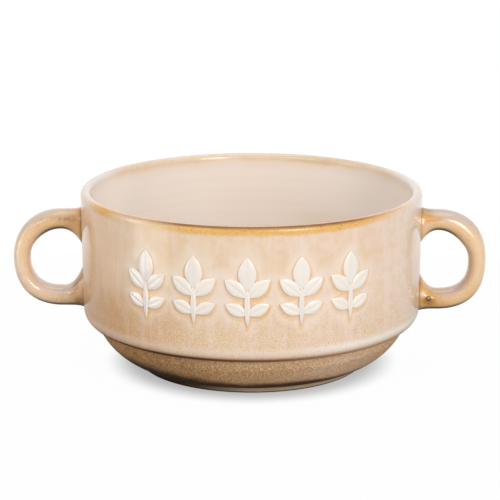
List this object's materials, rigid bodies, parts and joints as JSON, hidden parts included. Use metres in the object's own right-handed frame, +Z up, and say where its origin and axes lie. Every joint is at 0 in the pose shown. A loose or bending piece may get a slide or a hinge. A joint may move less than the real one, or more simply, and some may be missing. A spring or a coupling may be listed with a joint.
{
  "type": "soup mug",
  "caption": "Round stoneware soup mug with a stacking step, a foot ring, a loop handle on each side and a row of raised leaf sprigs; holds a serving of soup or stew.",
  "frame": {"origin": "middle of the foot ring, on the table", "axes": "+Z up out of the mouth, +X through the right-hand handle, -Y out of the front that carries the sprigs"},
  "size_m": [0.1814, 0.1308, 0.0683],
  "materials": {
    "bowl_glaze": "gloss",
    "handle_glaze": "gloss",
    "sprig_glaze": "gloss"
  },
  "bodies": {
    "root": {"bowl": "bowl_glaze", "handle_left": "handle_glaze", "handle_right": "handle_glaze", "sprig_1": "sprig_glaze", "sprig_2": "sprig_glaze", "sprig_3": "sprig_glaze", "sprig_4": "sprig_glaze", "sprig_5": "sprig_glaze"}
  },
  "joints": []
}
